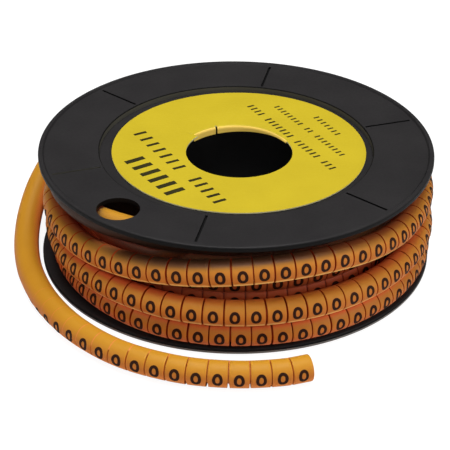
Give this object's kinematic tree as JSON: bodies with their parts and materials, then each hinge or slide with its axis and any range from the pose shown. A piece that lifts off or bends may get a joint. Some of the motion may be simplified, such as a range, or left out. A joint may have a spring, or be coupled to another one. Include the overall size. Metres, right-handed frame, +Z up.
{
  "type": "cable marker reel",
  "caption": "Flanged black plastic spool wound with a continuous strip of printed soft PVC marker sleeves, its free end lying round the front, and a round paper label in the top recess.",
  "frame": {"origin": "centre of the spool's underside, on the surface that the reel lies on", "axes": "+Z up along the spool's axis, -Y towards the front where the strip's free end lies, +X to the right"},
  "size_m": [0.0863, 0.0943, 0.0237],
  "materials": {
    "black_plastic": "satin",
    "yellow_paper": "satin",
    "orange_pvc": "satin"
  },
  "bodies": {
    "root": {"spool": "black_plastic", "label": "yellow_paper", "marker_winding": "orange_pvc", "marker_tail": "orange_pvc"}
  },
  "joints": []
}
